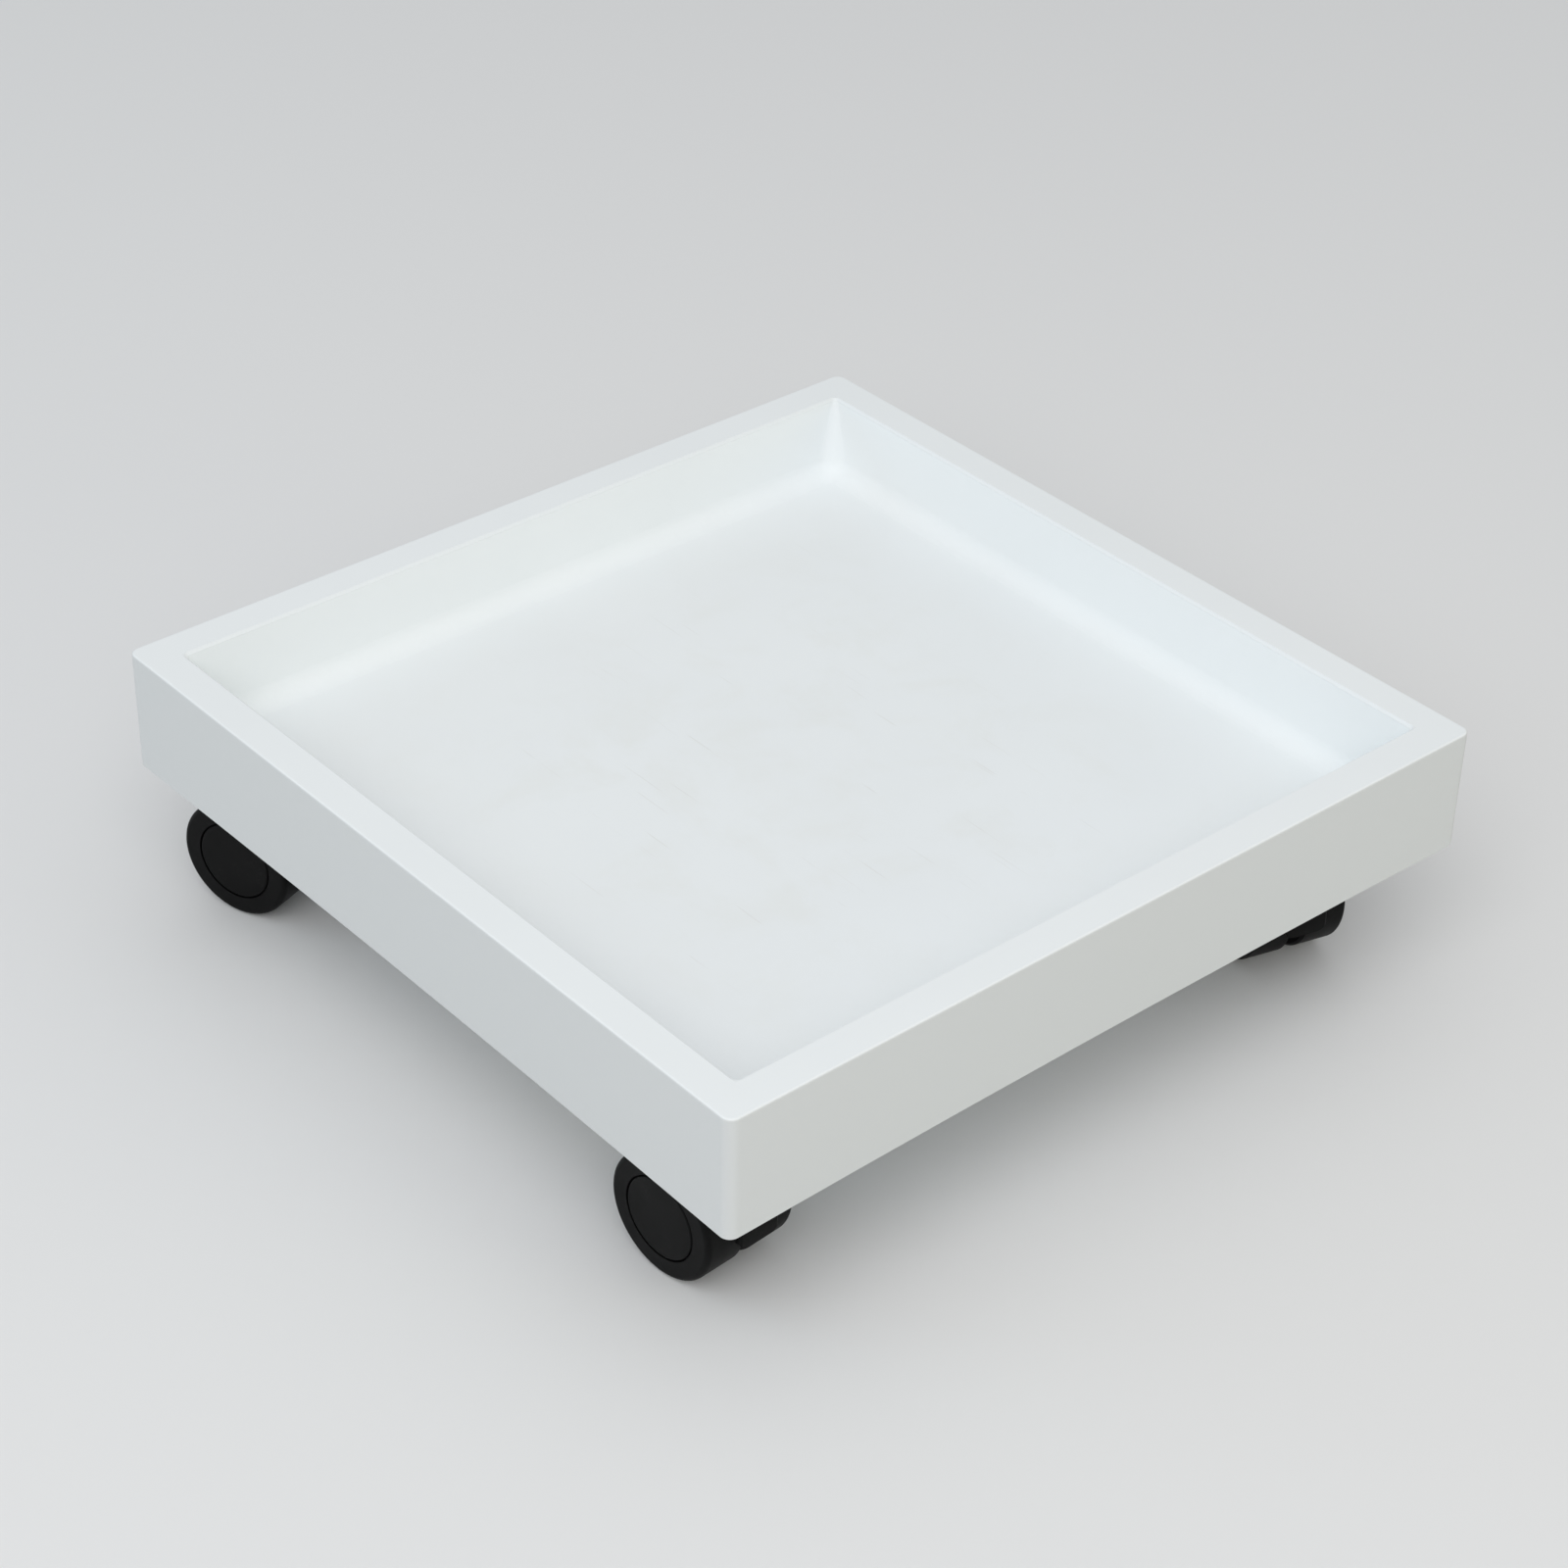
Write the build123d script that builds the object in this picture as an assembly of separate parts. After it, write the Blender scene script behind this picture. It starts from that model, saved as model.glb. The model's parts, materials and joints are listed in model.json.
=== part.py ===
# Plant pot caddy: a square moulded plastic tray carried on four small twin-wheel swivel casters.
# Millimetres. The origin is on the ground under the middle of the tray, +Z is up, and the sides of
# the tray run along X and Y.
from math import cos, radians, sin
import os

from build123d import *

os.makedirs("parts", exist_ok=True)

# ------------------------------------------------------------------ tray
SIDE = 300.0              # outer side of the square
RIM_TOP = 95.0            # rim above the ground
CORNER_R = 3.6            # upright outer corners
SKIRT_DEPTH = 42.5        # outer wall at the corners
SKIRT_ARCH = 1.8          # rise of the wall's lower edge between the corners
SKIN = 3.0                # outer wall, rim, inner wall and floor
RIM_WIDTH = 13.0          # flat top of the rim
WELL_DEPTH = 28.0         # rim down to the floor the pot stands on
WELL_DRAFT = 2.5          # how far each inner wall leans in by the floor
WELL_R_TOP, WELL_R_FLOOR = 1.6, 9.0
LIP = 0.8                 # bevel between the rim and the inner wall
FLOOR_FILLET = 7.0
RIB = 1.8
RIB_LINES = (0.0, 31.5, 63.0)
GUSSET_LINES = (0.0, 31.5, 63.0, 94.5, 126.0)
FLOOR_RIB_DEPTH = 6.0

FLOOR_TOP = RIM_TOP - WELL_DEPTH
FLOOR_UNDER = FLOOR_TOP - SKIN
SKIRT_FOOT = RIM_TOP - SKIRT_DEPTH
WELL_TOP = SIDE - 2 * RIM_WIDTH
WELL_FLOOR = WELL_TOP - 2 * WELL_DRAFT
INSIDE_SKIRT = SIDE - 2 * SKIN

# ------------------------------------------------------------------ caster places
PLATE_TOP = 55.0          # underside of the tray's caster pads
PLATE = 40.0
PLATE_T = 2.0
SCREW_XY = 14.0           # screws, out from the swivel axis along X and Y
PAD = 41.0
PAD_WALL = 3.0
BOSS_R = 4.5
SCREW_R = 1.96
PILOT_R = 2.0
SCREW_LENGTH = 10.0
SCREW_HEAD_R = 3.7
SCREW_HEAD_H = 2.0

# ------------------------------------------------------------------ caster
# Each caster is drawn with its swivel axis on Z, its wheels trailing towards -X and its axle
# along Y, then turned to its heading and moved to its corner.
WHEEL_R = 20.7
TWIN_WIDTH = 34.5         # over both wheel faces
WHEEL_GAP = 5.0           # between the two treads
TRAIL = 14.7              # swivel axis to axle
TREAD_EDGE_R = 1.8        # rounding between the tread and the outer face
CAP_R = 13.6              # disc that covers the axle end
CAP_SEAT_R = 14.1
CAP_T = 1.6
TREAD_T = 3.2
WEB_T = 2.6
HUB_R = 6.0
HUB_IN = 7.0              # inner end of the wheel hub, out from the middle of the caster
SPOKES = 6
AXLE_R = 2.5
AXLE_FIT = 0.05
COUNTERBORE_R = 4.2

KINGPIN_R = 3.5
KINGPIN_FIT = 0.06
KINGPIN_FOOT = 40.8
SHOULDER_R = 6.5
SHOULDER_T = 1.5
RIVET_R = 5.5
RIVET_T = 1.2
WASHER_R = 6.8
WASHER_T = 1.0
RING_T = 1.2
RING_R = 4.6              # snap ring that holds the housing on the kingpin
RING_TOP = 43.8
HOOD_GAP = 0.8
HOOD_T = 1.6
HOOD_TO = 112.0           # degrees up from the leading side, about the axle
HOOD_WIDE_FROM = 24.0     # from here up the hood spans both wheels
TONGUE_FROM = -8.0        # below that it is a narrow, thicker tongue down to here
HOOD_INSET = 0.8          # wide hood's edge in from the wheel face
TONGUE_TO = 50.0
TONGUE_HALF = 7.7
TONGUE_OUT = 3.3          # tongue's outer face out from the tread
TONGUE_CORNER_R = 3.5
SIDE_PLAY = 0.4           # housing to wheel, each side
BOSS_OUT_R = 7.0          # housing boss around the axle
BORE_FOOT = 40.4          # floor of the housing's kingpin bore

PLATE_UNDER = PLATE_TOP - PLATE_T
SHOULDER_UNDER = PLATE_UNDER - SHOULDER_T
HOUSING_TOP = SHOULDER_UNDER - WASHER_T - 0.1
FACE = TWIN_WIDTH / 2
TREAD_IN = WHEEL_GAP / 2
BODY_HALF = TREAD_IN - SIDE_PLAY

# corner: swivel axis X and Y, heading of the leading side in degrees from +X. The casters are
# screwed on by hand, so the axes are up to 2.5 mm off an even spacing.
CORNERS = {
    "front_left": (-114.3, -112.7, 18.8),
    "front_right": (115.5, -117.5, 4.0),
    "rear_right": (114.7, 116.4, -15.4),
    "rear_left": (-115.0, 115.0, -4.0),
}


def drafted(side_a, radius_a, z_a, side_b, radius_b, z_b):
    """Solid between two centred rounded squares at heights z_a and z_b."""
    a = Pos(0, 0, z_a) * RectangleRounded(side_a, side_a, radius_a)
    b = Pos(0, 0, z_b) * RectangleRounded(side_b, side_b, radius_b)
    return loft([a, b], ruled=True)


def column(radius, x, y, z0, z1):
    return Pos(x, y, (z0 + z1) / 2) * Cylinder(radius, z1 - z0)


def block(x0, x1, y0, y1, z0, z1):
    return Pos((x0 + x1) / 2, (y0 + y1) / 2, (z0 + z1) / 2) * Box(x1 - x0, y1 - y0, z1 - z0)


def arch_cutter():
    """Everything below the gently arched lower edge, swept across the tray along Y."""
    half = SIDE / 2 + 2
    with BuildPart() as cutter:
        with BuildSketch(Plane.XZ):
            with BuildLine():
                Polyline((-half, SKIRT_FOOT), (-half, SKIRT_FOOT - 20), (half, SKIRT_FOOT - 20),
                         (half, SKIRT_FOOT))
                ThreePointArc((half, SKIRT_FOOT), (0, SKIRT_FOOT + SKIRT_ARCH), (-half, SKIRT_FOOT))
            make_face()
        extrude(amount=half, both=True)
    return cutter.part


def caster_pad(cx, cy):
    """Box of ribs and four screw bosses that one caster's plate is screwed up against."""
    top = FLOOR_UNDER + 0.5
    half = PAD / 2
    inner = half - PAD_WALL
    pad = block(cx - half, cx + half, cy - half, cy + half, PLATE_TOP, top)
    pad -= block(cx - inner, cx + inner, cy - inner, cy + inner, PLATE_TOP - 1, top + 1)
    for s in (-SCREW_XY, SCREW_XY):
        pad += block(cx + s - RIB / 2, cx + s + RIB / 2, cy - inner - 1, cy + inner + 1,
                     PLATE_TOP, top)
        pad += block(cx - inner - 1, cx + inner + 1, cy + s - RIB / 2, cy + s + RIB / 2,
                     PLATE_TOP, top)
    for sx in (-SCREW_XY, SCREW_XY):
        for sy in (-SCREW_XY, SCREW_XY):
            pad += column(BOSS_R, cx + sx, cy + sy, PLATE_TOP, top)
    return pad


def tray():
    shell = extrude(Pos(0, 0, SKIRT_FOOT) * RectangleRounded(SIDE, SIDE, CORNER_R), SKIRT_DEPTH)
    shell = fillet(shell.edges().group_by(Axis.Z)[-1], 0.8)
    hollow = extrude(Pos(0, 0, SKIRT_FOOT - 1)
                     * RectangleRounded(INSIDE_SKIRT, INSIDE_SKIRT, CORNER_R - 2),
                     SKIRT_DEPTH - SKIN + 1)
    body = shell - hollow
    tub = drafted(WELL_TOP + 2 * SKIN, WELL_R_TOP + 2, RIM_TOP - 1,
                  WELL_FLOOR + 2 * SKIN, WELL_R_FLOOR + 2, FLOOR_UNDER)
    body += tub

    reach = INSIDE_SKIRT / 2 + 1
    tub_reach = WELL_TOP / 2 + 1
    ribs = []
    for line in RIB_LINES:
        for at in {line, -line}:
            ribs.append(block(at - RIB / 2, at + RIB / 2, -reach, reach,
                              FLOOR_UNDER - FLOOR_RIB_DEPTH, FLOOR_UNDER + 1))
            ribs.append(block(-reach, reach, at - RIB / 2, at + RIB / 2,
                              FLOOR_UNDER - FLOOR_RIB_DEPTH, FLOOR_UNDER + 1))
    for line in GUSSET_LINES:
        for at in {line, -line}:
            for sign in (-1, 1):
                near, far = sorted((sign * tub_reach, sign * reach))
                ribs.append(block(at - RIB / 2, at + RIB / 2, near, far,
                                  FLOOR_UNDER - FLOOR_RIB_DEPTH, RIM_TOP - SKIN + 1))
                ribs.append(block(near, far, at - RIB / 2, at + RIB / 2,
                                  FLOOR_UNDER - FLOOR_RIB_DEPTH, RIM_TOP - SKIN + 1))
    ribs += [caster_pad(x, y) for x, y, _ in CORNERS.values()]
    body = body + ribs

    well = drafted(WELL_TOP, WELL_R_TOP, RIM_TOP, WELL_FLOOR, WELL_R_FLOOR, FLOOR_TOP)
    well = fillet(well.edges().group_by(Axis.Z)[0], FLOOR_FILLET)
    well += drafted(WELL_TOP + 2 * LIP, WELL_R_TOP + LIP, RIM_TOP + 0.01,
                    WELL_TOP, WELL_R_TOP, RIM_TOP - LIP)
    body -= well
    arch = arch_cutter()
    body -= arch
    body -= Rot(0, 0, 90) * arch
    pilots = [column(PILOT_R, x + ax, y + ay, PLATE_TOP - 1, PLATE_TOP + SCREW_LENGTH - PLATE_T - 0.5)
              for x, y, _ in CORNERS.values()
              for ax in (-SCREW_XY, SCREW_XY) for ay in (-SCREW_XY, SCREW_XY)]
    return body - pilots


def ring(outer, inner, z0, z1, x=0.0, y=0.0):
    return column(outer, x, y, z0, z1) - column(inner, x, y, z0 - 1, z1 + 1)


def rod(radius, y0, y1):
    """Cylinder along the axle line."""
    return Pos(-TRAIL, (y0 + y1) / 2, WHEEL_R) * Rot(90, 0, 0) * Cylinder(radius, abs(y1 - y0))


def turned(points, edge_r=0.0):
    """Solid of revolution about the axle line from (distance along axle, radius) points.

    edge_r rounds the outermost corner that is furthest out along the axle.
    """
    outline = make_face(Polyline(*[(r, y) for y, r in points], close=True))
    if edge_r:
        corner = max(outline.vertices(), key=lambda v: v.X + v.Y)
        outline = fillet(corner, edge_r)
    solid = revolve(outline, Axis.Y)
    return Pos(-TRAIL, 0, WHEEL_R) * solid


def top_plate():
    plate = Pos(0, 0, PLATE_UNDER) * extrude(RectangleRounded(PLATE, PLATE, 5), PLATE_T)
    plate = chamfer(plate.edges().group_by(Axis.Z)[0], 0.4)
    plate -= column(KINGPIN_R, 0, 0, PLATE_UNDER - 1, PLATE_TOP + 1)
    for sx in (-SCREW_XY, SCREW_XY):
        for sy in (-SCREW_XY, SCREW_XY):
            plate -= column(PILOT_R + 0.3, sx, sy, PLATE_UNDER - 1, PLATE_TOP + 1)
    return plate


def kingpin():
    pin = column(KINGPIN_R, 0, 0, KINGPIN_FOOT, PLATE_TOP + 0.5)
    pin = chamfer(pin.edges().group_by(Axis.Z)[0], 0.5)
    pin += column(SHOULDER_R, 0, 0, SHOULDER_UNDER, PLATE_UNDER)
    head = column(RIVET_R, 0, 0, PLATE_TOP, PLATE_TOP + RIVET_T)
    pin += fillet(head.edges().group_by(Axis.Z)[-1], 0.8)
    return pin - ring(KINGPIN_R + 1, KINGPIN_R - 0.7, RING_TOP - RING_T, RING_TOP)


def kingpin_ring():
    clip = ring(RING_R, KINGPIN_R - 0.7, RING_TOP - RING_T + 0.05, RING_TOP - 0.05)
    return clip - block(KINGPIN_R - 1.5, RING_R + 1, -1.0, 1.0, RING_TOP - RING_T - 1, RING_TOP + 1)


def screws():
    """Four pan-head screws with cross recesses, driven up through the plate."""
    screw = column(SCREW_R, 0, 0, PLATE_UNDER, PLATE_TOP + SCREW_LENGTH - PLATE_T - 1)
    screw = chamfer(screw.edges().group_by(Axis.Z)[-1], 0.9)
    head = column(SCREW_HEAD_R, 0, 0, PLATE_UNDER - SCREW_HEAD_H, PLATE_UNDER)
    screw += fillet(head.edges().group_by(Axis.Z)[0], 1.2)
    under = PLATE_UNDER - SCREW_HEAD_H
    screw -= block(-0.4, 0.4, -1.9, 1.9, under - 1, under + 1.1)
    screw -= block(-1.9, 1.9, -0.4, 0.4, under - 1, under + 1.1)
    spots = [(sx, sy) for sx in (-SCREW_XY, SCREW_XY) for sy in (-SCREW_XY, SCREW_XY)]
    return [Pos(x, y, 0) * Rot(0, 0, 20 * i) * screw for i, (x, y) in enumerate(spots)]


def washer():
    return ring(WASHER_R, KINGPIN_R + 0.2, HOUSING_TOP, HOUSING_TOP + WASHER_T)


def sector(radius, start, end):
    """Pie slice about the axle in the XZ plane, angles in degrees up from the leading side."""
    steps = 4
    rim = [(radius * cos(radians(a)), radius * sin(radians(a)))
           for a in (start + (end - start) * i / (2 * steps) for i in range(2 * steps + 1))]
    with BuildSketch() as pie:
        with BuildLine():
            for i in range(steps):
                ThreePointArc(rim[2 * i], rim[2 * i + 1], rim[2 * i + 2])
            Line(rim[-1], (0, 0))
            Line((0, 0), rim[0])
        make_face()
    return pie.sketch


def housing():
    """Nylon body between the wheels, with a hood over their tops and a tongue down the front."""
    upright = Rot(90, 0, 0)
    centre = Pos(-TRAIL, 0, WHEEL_R)
    inner, outer = WHEEL_R + HOOD_GAP, WHEEL_R + HOOD_GAP + HOOD_T
    wheel_space = centre * upright * Cylinder(inner, TWIN_WIDTH + 2)

    wide = sector(outer, HOOD_WIDE_FROM, HOOD_TO) - Circle(inner)
    hood = centre * upright * extrude(wide, FACE - HOOD_INSET, both=True)
    hood = fillet(hood.edges().filter_by(GeomType.CIRCLE).filter_by(
        lambda e: e.radius > outer - 0.1), 1.0)
    nose = WHEEL_R + TONGUE_OUT
    narrow = sector(nose, TONGUE_FROM, TONGUE_TO) - Circle(inner)
    tongue = centre * upright * extrude(narrow, TONGUE_HALF, both=True)
    tongue = fillet(tongue.edges().filter_by(GeomType.CIRCLE).filter_by(
        lambda e: e.radius > nose - 0.1), 1.0)
    tip = WHEEL_R + nose * sin(radians(TONGUE_FROM))
    tongue &= extrude(Plane.YZ * Pos(0, tip + 30) * RectangleRounded(
        2 * TONGUE_HALF, 60, TONGUE_CORNER_R), 60, both=True)
    web = centre * upright * extrude(sector(outer - 0.2, TONGUE_FROM, HOOD_TO), BODY_HALF, both=True)
    boss = centre * upright * Cylinder(BOSS_OUT_R, 2 * (HUB_IN - SIDE_PLAY))
    tower = column(WASHER_R + 0.7, 0, 0, WHEEL_R + 16, HOUSING_TOP) - wheel_space

    body = hood + tongue + tower + web + boss
    body -= column(KINGPIN_R + KINGPIN_FIT, 0, 0, BORE_FOOT, HOUSING_TOP + 1)
    body -= column(RING_R + 0.3, 0, 0, RING_TOP - RING_T - 0.2, RING_TOP + 0.2)
    body -= rod(AXLE_R, -HUB_IN - 1, HUB_IN + 1)
    return body


def axle():
    end = FACE - 3.2
    bar = chamfer(rod(AXLE_R, -end, end).edges(), 0.3)
    for side in (-1, 1):
        groove = rod(AXLE_R + 1, side * (end - 0.9), side * (end - 0.3))
        bar -= groove - rod(AXLE_R - 0.4, side * (end - 1.5), side * end)
    return bar


def axle_clips():
    clips = []
    for side in (-1, 1):
        a, b = side * (FACE - 4.07), side * (FACE - 3.53)
        clip = rod(COUNTERBORE_R - 0.3, a, b) - rod(AXLE_R - 0.4, a - side, b + side)
        slot = Pos(-TRAIL, side * FACE, WHEEL_R - 3) * Box(3.2, 12, 6)
        clips.append(clip - slot)
    return clips


def wheel():
    """Wheel on the +Y side: tread ring, web, hub and spokes, hollow on its inner side."""
    bore = AXLE_R + AXLE_FIT
    bottom = FACE - CAP_T - WEB_T
    tread_in_r = WHEEL_R - TREAD_T
    solid = turned([
        (TREAD_IN, tread_in_r), (TREAD_IN, WHEEL_R - 0.8), (TREAD_IN + 0.8, WHEEL_R),
        (FACE, WHEEL_R), (FACE, CAP_SEAT_R), (FACE - CAP_T, CAP_SEAT_R), (FACE - CAP_T, COUNTERBORE_R),
        (bottom, COUNTERBORE_R), (bottom, bore), (HUB_IN, bore), (HUB_IN, HUB_R),
        (bottom, HUB_R), (bottom, tread_in_r),
    ], TREAD_EDGE_R)
    spoke = block(HUB_R - 0.5, tread_in_r + 0.5, HUB_IN + 1, bottom + 0.5, -0.7, 0.7)
    for i in range(SPOKES):
        solid += Pos(-TRAIL, 0, WHEEL_R) * Rot(0, 360 / SPOKES * i + 15, 0) * spoke
    return solid


def cap():
    """Disc that snaps into the wheel's face and covers the end of the axle."""
    seat = FACE - CAP_T
    return turned([
        (seat, 0), (seat, 3.4), (seat - 1.3, 3.4), (seat - 1.3, COUNTERBORE_R),
        (seat, COUNTERBORE_R), (seat, CAP_R), (FACE - 0.5, CAP_R), (FACE - 0.15, CAP_R - 0.2),
        (FACE, CAP_R - 0.6), (FACE, 0),
    ])


def export(name, *solids):
    shape = solids[0] if len(solids) == 1 else Compound(children=list(solids))
    export_step(shape, f"parts/{name}.step")


export("tray", tray())
opposite = Pos(-2 * TRAIL, 0, 0) * Rot(0, 0, 180)
fixed = {"top_plate": [top_plate()], "kingpin": [kingpin()], "kingpin_ring": [kingpin_ring()],
         "screws": screws()}
swivelling = {"housing": [housing()], "washer": [washer()], "axle": [axle()],
              "axle_clips": axle_clips(), "wheel_right": [opposite * wheel()],
              "wheel_left": [wheel()], "cap_right": [opposite * cap()], "cap_left": [cap()]}
for corner, (x, y, heading) in CORNERS.items():
    place = Pos(x, y, 0)
    for name, solids in fixed.items():
        export(f"{corner}_{name}", *(place * solid for solid in solids))
    for name, solids in swivelling.items():
        export(f"{corner}_{name}", *(place * Rot(0, 0, heading) * solid for solid in solids))
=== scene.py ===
import json
import math

import bpy
from mathutils import Matrix, Vector


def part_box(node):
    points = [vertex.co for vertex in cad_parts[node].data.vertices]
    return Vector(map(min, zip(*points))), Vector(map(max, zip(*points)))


MM = 0.001

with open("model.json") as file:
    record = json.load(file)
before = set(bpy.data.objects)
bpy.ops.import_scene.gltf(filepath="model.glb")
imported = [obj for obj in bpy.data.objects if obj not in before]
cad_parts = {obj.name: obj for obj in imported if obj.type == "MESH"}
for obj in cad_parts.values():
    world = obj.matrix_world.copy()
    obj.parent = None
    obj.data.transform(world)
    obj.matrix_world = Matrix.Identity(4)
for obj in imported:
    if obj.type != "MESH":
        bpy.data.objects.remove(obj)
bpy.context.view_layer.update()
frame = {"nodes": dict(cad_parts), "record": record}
TRAY_HALF, RIM_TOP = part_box("tray")[1].x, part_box("tray")[1].z
FLOOR_TOP = frame["record"]["mounts"][0]["pos_m"][2]
WELL_HALF = 137 * MM      # inner walls at the rim, out from the middle of the tray

# ------------------------------------------------------------------ colours, linear
WELL_WHITE = (0.865, 0.894, 0.903)
WELL_CLOUD = tuple(0.985 * c for c in WELL_WHITE)
# painted shade: a darker white for the skirt's outside and the rim's outer rounding
SKIRT_PAINTED_SHADE = (0.655, 0.672, 0.672)
# painted shade: a darker white that damps the bright lit band along the rim's inner lip
LIP_PAINTED_SHADE = (0.80, 0.83, 0.84)
FLOOR_STAIN = (0.825, 0.845, 0.83)
SCRATCH = (0.80, 0.815, 0.81)
DUST = (0.016, 0.0155, 0.015)
NATURAL_NYLON = (0.72, 0.70, 0.64)
NATURAL_CLOUD = (0.66, 0.64, 0.57)
PAPER = (0.80, 0.80, 0.80)
SKY = (0.97, 0.985, 1.0)

# ------------------------------------------------------------------ surface finish
PLASTIC_GRAIN, PLASTIC_GRAIN_LIFT = 0.35 * MM, 0.012 * MM
STEEL_GRAIN = 0.9 * MM
BLACK_SPECULAR = 0.09
SHARP_ANGLE = math.radians(32.0)

# ------------------------------------------------------------------ camera and lights
CAMERA_TURN = (48.953, 34.522, 1.24)         # azimuth, elevation and roll in degrees
CAMERA_FROM_RIM = (0.7107, -0.6216, 0.6138)  # from the middle of the tray at rim height
SENSOR, LENS = 36.0, 82.2                    # mm
SKY_STRENGTH = 0.59
LIGHT_AIM = (0, 0, 0.05)
LIGHTS = (                                   # name, place, size, watts, colour
    ("key", (1.05, -1.2, 1.8), (1.8, 1.8), 25.0, (1.0, 1.0, 1.0)),
    ("cool_fill", (-1.5, -1.3, 0.55), (1.0, 0.8), 3.3, (0.52, 0.82, 1.0)),
    ("warm_fill", (1.9, 0.9, 0.45), (1.0, 0.8), 2.8, (1.0, 0.93, 0.45)),
)
FLOOR_REACH = 6.0
FLOOR_DROP = 0.4 * MM     # keeps the floor just clear of the treads


# ------------------------------------------------------------------ material helpers
class Graph:
    """A material's node tree with short calls for the nodes used here."""

    def __init__(self, name):
        self.material = bpy.data.materials.new(name)
        self.material.use_nodes = True
        self.tree = self.material.node_tree
        self.shader = self.tree.nodes["Principled BSDF"]
        self.place = self.add("ShaderNodeTexCoord").outputs["Object"]

    def add(self, kind, **settings):
        node = self.tree.nodes.new(kind)
        for key, value in settings.items():
            setattr(node, key, value)
        return node

    def link(self, source, target):
        self.tree.links.new(source, target)

    def set(self, **values):
        for key, value in values.items():
            self.shader.inputs[key.replace("_", " ")].default_value = value

    def noise(self, scale, detail=3.0, roughness=0.5, distortion=0.0, place=None):
        node = self.add("ShaderNodeTexNoise")
        node.inputs["Scale"].default_value = scale
        node.inputs["Detail"].default_value = detail
        node.inputs["Roughness"].default_value = roughness
        node.inputs["Distortion"].default_value = distortion
        self.link(place or self.place, node.inputs["Vector"])
        return node.outputs["Fac"]

    def spread(self, value, low, high, to_low=0.0, to_high=1.0):
        node = self.add("ShaderNodeMapRange", interpolation_type="SMOOTHSTEP")
        for name, v in (("From Min", low), ("From Max", high), ("To Min", to_low), ("To Max", to_high)):
            node.inputs[name].default_value = v
        self.link(value, node.inputs["Value"])
        return node.outputs["Result"]

    def math(self, operation, a, b):
        node = self.add("ShaderNodeMath", operation=operation)
        for socket, value in zip(node.inputs, (a, b)):
            if isinstance(value, (int, float)):
                socket.default_value = value
            else:
                self.link(value, socket)
        return node.outputs["Value"]

    def blend(self, factor, a, b):
        node = self.add("ShaderNodeMix", data_type="RGBA")
        for socket, value in zip((node.inputs[0], node.inputs[6], node.inputs[7]), (factor, a, b)):
            if isinstance(value, (int, float)):
                socket.default_value = value
            elif isinstance(value, tuple):
                socket.default_value = (*value, 1.0)
            else:
                self.link(value, socket)
        return node.outputs[2]

    def bump(self, height, distance, strength):
        node = self.add("ShaderNodeBump")
        node.inputs["Strength"].default_value = strength
        node.inputs["Distance"].default_value = distance
        self.link(height, node.inputs["Height"])
        return node.outputs["Normal"]


def moulded_plastic(g, base, shade, roughness, specular=0.5):
    """Injection-moulded plastic on graph g: faint cloudy colour, spark-eroded grain, uneven gloss."""
    colour = g.blend(g.spread(g.noise(14.0, 4.0), 0.3, 0.7), base, shade)
    g.link(colour, g.shader.inputs["Base Color"])
    g.link(g.spread(g.noise(60.0, 5.0, 0.6), 0.25, 0.75, roughness - 0.05, roughness + 0.07),
           g.shader.inputs["Roughness"])
    g.link(g.bump(g.noise(1.0 / PLASTIC_GRAIN, 2.0), PLASTIC_GRAIN_LIFT, 0.6), g.shader.inputs["Normal"])
    g.set(IOR=1.49, Specular_IOR_Level=specular)
    return colour


def black_nylon(name, level, roughness):
    """Black nylon with a trace of grey dust in patches."""
    g = Graph(name)
    black = moulded_plastic(g, (level, level, level * 1.03), (level * 1.3, level * 1.3, level * 1.34),
                            roughness, BLACK_SPECULAR)
    dust = g.math("MULTIPLY", g.spread(g.noise(110.0, 5.0, 0.65), 0.5, 0.72),
                  g.spread(g.noise(1500.0, 2.0), 0.4, 0.7, 0.0, 0.5))
    g.link(g.blend(dust, black, DUST), g.shader.inputs["Base Color"])
    return g.material


def natural_nylon():
    """Undyed nylon, slightly cream."""
    g = Graph("washer_nylon")
    moulded_plastic(g, NATURAL_NYLON, NATURAL_CLOUD, 0.4)
    g.set(Subsurface_Weight=0.1)
    return g.material


def scuffs(g):
    """Fine straight scratches in three directions, broken into short strokes."""
    total = 0.0
    for turn, length, fineness in ((0.5, 16.0, 900.0), (-0.9, 22.0, 1100.0), (1.9, 12.0, 1000.0)):
        stretch = g.add("ShaderNodeMapping")
        stretch.inputs["Rotation"].default_value = (0, 0, turn)
        stretch.inputs["Scale"].default_value = (length, fineness, 1.0)
        g.link(g.place, stretch.inputs["Vector"])
        line = g.spread(g.noise(1.0, 1.0, place=stretch.outputs["Vector"]), 0.70, 0.76)
        patch = g.spread(g.noise(38.0 + 9.0 * turn, 2.0), 0.52, 0.66)
        total = g.math("MAXIMUM", g.math("MULTIPLY", line, patch), total)
    return total


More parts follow.
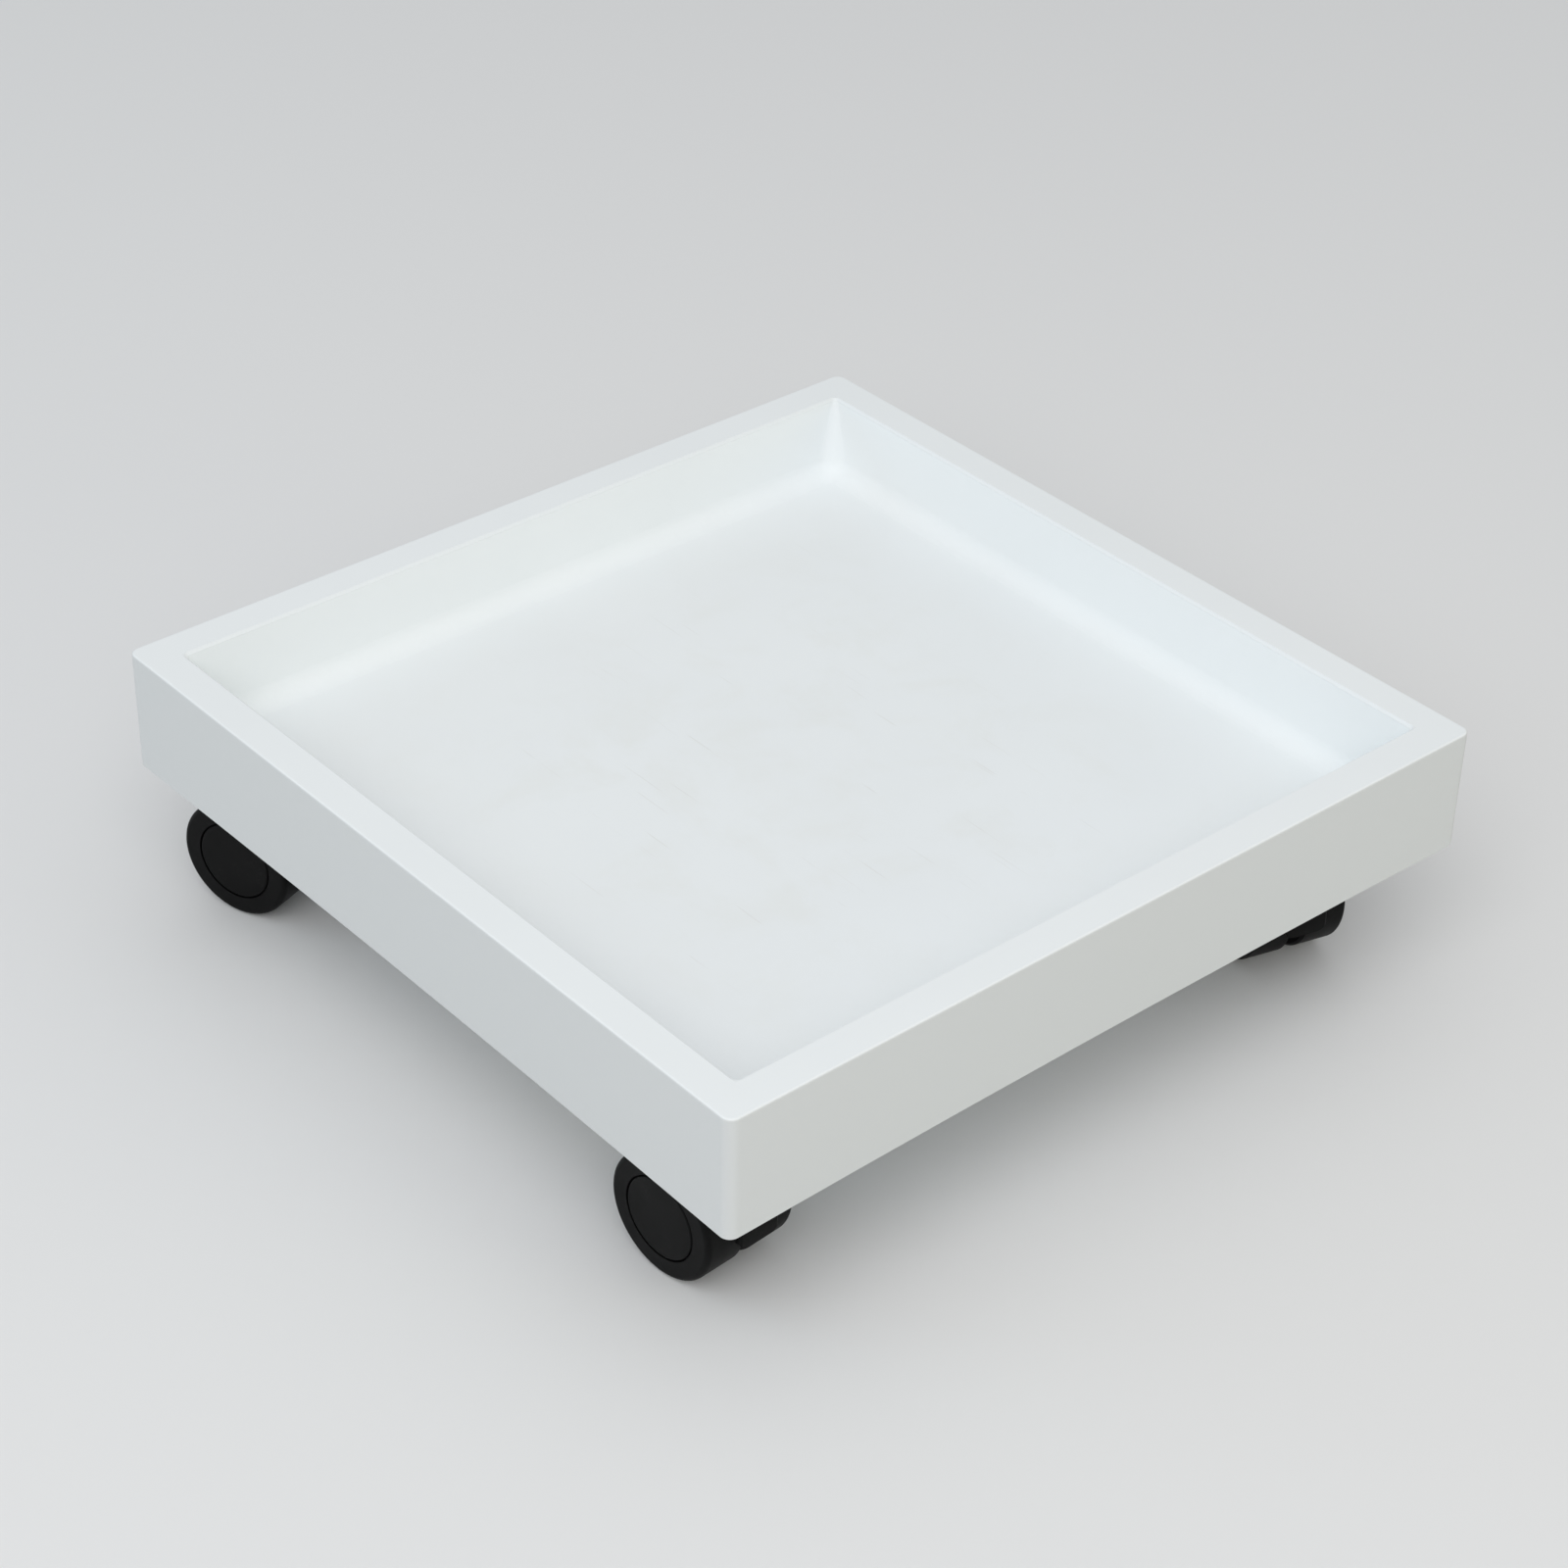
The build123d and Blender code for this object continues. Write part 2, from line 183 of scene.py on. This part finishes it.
def tray_plastic():
    """White polypropylene, scuffed where pots have stood; the skirt's outside, the rim's outer rounding
    and the rim's inner lip get a darker white as painted shade.
    """
    g = Graph("tray_plastic")
    white = moulded_plastic(g, WELL_WHITE, WELL_CLOUD, 0.62, 0.35)
    split = g.add("ShaderNodeSeparateXYZ")
    g.link(g.place, split.inputs["Vector"])
    reach = g.math("MAXIMUM", g.math("ABSOLUTE", split.outputs["X"], 0.0),
                   g.math("ABSOLUTE", split.outputs["Y"], 0.0))
    on_floor = g.spread(split.outputs["Z"], FLOOR_TOP + 1 * MM, FLOOR_TOP + 4 * MM, 1.0, 0.0)
    middle = g.spread(reach, 60 * MM, 125 * MM, 1.0, 0.12)
    used = g.math("MULTIPLY", on_floor, middle)
    stain = g.spread(g.noise(32.0, 6.0, 0.62, 0.4), 0.42, 0.72, 0.0, 0.55)
    stained = g.blend(g.math("MULTIPLY", used, stain), white, FLOOR_STAIN)
    scratched = g.blend(g.math("MULTIPLY", used, scuffs(g)), stained, SCRATCH)
    # Painted shade: the skirt's outside and the rim's outer rounding get a darker white, standing in for
    # the dim light bounced up from the floor and damping the rounding's highlight
    outside = g.spread(reach, TRAY_HALF - 2.6 * MM, TRAY_HALF - 1.8 * MM)
    below_rim = g.spread(split.outputs["Z"], RIM_TOP - 0.55 * MM, RIM_TOP - 0.02 * MM, 1.0, 0.0)
    skirt_shaded = g.blend(g.math("MULTIPLY", outside, below_rim), scratched, SKIRT_PAINTED_SHADE)
    # Painted shade: the rim's inner lip is blended towards a darker white to damp its lit edge
    lip_shade_mask = g.math("MULTIPLY", g.spread(reach, WELL_HALF + 0.7 * MM, WELL_HALF + 0.85 * MM, 1.0, 0.0),
                    g.spread(reach, WELL_HALF - 0.15 * MM, WELL_HALF - 0.05 * MM))
    g.link(g.blend(g.math("MULTIPLY", lip_shade_mask, 0.55), skirt_shaded, LIP_PAINTED_SHADE), g.shader.inputs["Base Color"])
    return g.material


def plated_steel(name, base, roughness):
    """Plated or spring steel with faint warm patches and a fine grain."""
    g = Graph(name)
    tint = g.spread(g.noise(220.0, 3.0), 0.35, 0.65)
    warm = tuple(c * k for c, k in zip(base, (1.0, 0.96, 0.88)))
    g.link(g.blend(tint, base, warm), g.shader.inputs["Base Color"])
    g.link(g.spread(g.noise(1.0 / STEEL_GRAIN, 4.0), 0.3, 0.7, roughness - 0.08, roughness + 0.1),
           g.shader.inputs["Roughness"])
    g.link(g.bump(g.noise(2500.0, 2.0), 0.01 * MM, 0.5), g.shader.inputs["Normal"])
    g.set(Metallic=1.0)
    return g.material


# ------------------------------------------------------------------ materials
LOOKS = {
    "tray_plastic": tray_plastic(),
    "housing_nylon": black_nylon("housing_nylon", 0.0035, 0.5),
    "wheel_nylon": black_nylon("wheel_nylon", 0.004, 0.48),
    "cap_plastic": black_nylon("cap_plastic", 0.0026, 0.42),
    "washer_nylon": natural_nylon(),
    "zinc_steel": plated_steel("zinc_steel", (0.60, 0.61, 0.63), 0.34),
    "screw_steel": plated_steel("screw_steel", (0.58, 0.58, 0.57), 0.3),
    "axle_steel": plated_steel("axle_steel", (0.55, 0.56, 0.57), 0.25),
    "spring_steel": plated_steel("spring_steel", (0.25, 0.25, 0.26), 0.35),
}


def smooth(mesh):
    """Shades curved faces smooth and keeps sharper edges crisp."""
    mesh.shade_smooth()
    mesh.set_sharp_from_angle(angle=SHARP_ANGLE)


slot_of = {part["node"]: part["material_slot"] for part in frame["record"]["subparts"]}
for name, node in frame["nodes"].items():
    node.data.materials.clear()
    node.data.materials.append(LOOKS[slot_of[name]])
    smooth(node.data)


# ------------------------------------------------------------------ floor, light and camera
def backdrop():
    mesh = bpy.data.meshes.new("floor")
    far = FLOOR_REACH
    mesh.from_pydata([(-far, -far, 0), (far, -far, 0), (far, far, 0), (-far, far, 0)], [],
                     [(0, 1, 2, 3)])
    floor = bpy.data.objects.new("floor", mesh)
    bpy.context.scene.collection.objects.link(floor)
    floor.location.z = -FLOOR_DROP
    g = Graph("floor_paper")
    g.set(Base_Color=(*PAPER, 1.0), Roughness=0.9)
    floor.data.materials.append(g.material)


def area_light(name, place, size, power, colour):
    data = bpy.data.lights.new(name, "AREA")
    data.shape = "RECTANGLE"
    data.size, data.size_y = size
    data.energy = power
    data.color = colour
    light = bpy.data.objects.new(name, data)
    bpy.context.scene.collection.objects.link(light)
    light.location = place
    light.rotation_mode = "QUATERNION"
    light.rotation_quaternion = (Vector(LIGHT_AIM) - Vector(place)).to_track_quat("-Z", "Y")


def camera():
    """Long lens looking down from the front right, with a slight roll."""
    azimuth, elevation, roll = (math.radians(a) for a in CAMERA_TURN)
    back = Vector((math.sin(azimuth) * math.cos(elevation), -math.cos(azimuth) * math.cos(elevation),
                   math.sin(elevation)))
    right = Vector((math.cos(azimuth), math.sin(azimuth), 0))
    up = back.cross(right)
    tilted_right = math.cos(roll) * right + math.sin(roll) * up
    tilted_up = -math.sin(roll) * right + math.cos(roll) * up
    data = bpy.data.cameras.new("camera")
    data.sensor_width = SENSOR
    data.lens = LENS
    data.clip_start, data.clip_end = 0.01, 50.0
    eye = bpy.data.objects.new("camera", data)
    bpy.context.scene.collection.objects.link(eye)
    turn = Matrix((tilted_right, tilted_up, back)).transposed().to_4x4()
    eye.matrix_world = Matrix.Translation(Vector(CAMERA_FROM_RIM) + Vector((0, 0, RIM_TOP))) @ turn
    bpy.context.scene.camera = eye


def studio():
    world = bpy.data.worlds.new("studio")
    bpy.context.scene.world = world
    world.use_nodes = True
    sky = world.node_tree.nodes["Background"]
    sky.inputs["Color"].default_value = (*SKY, 1.0)
    sky.inputs["Strength"].default_value = SKY_STRENGTH
    for name, place, size, power, colour in LIGHTS:
        area_light(name, place, size, power, colour)


backdrop()
studio()
camera()
bpy.context.scene.view_settings.view_transform = "Standard"
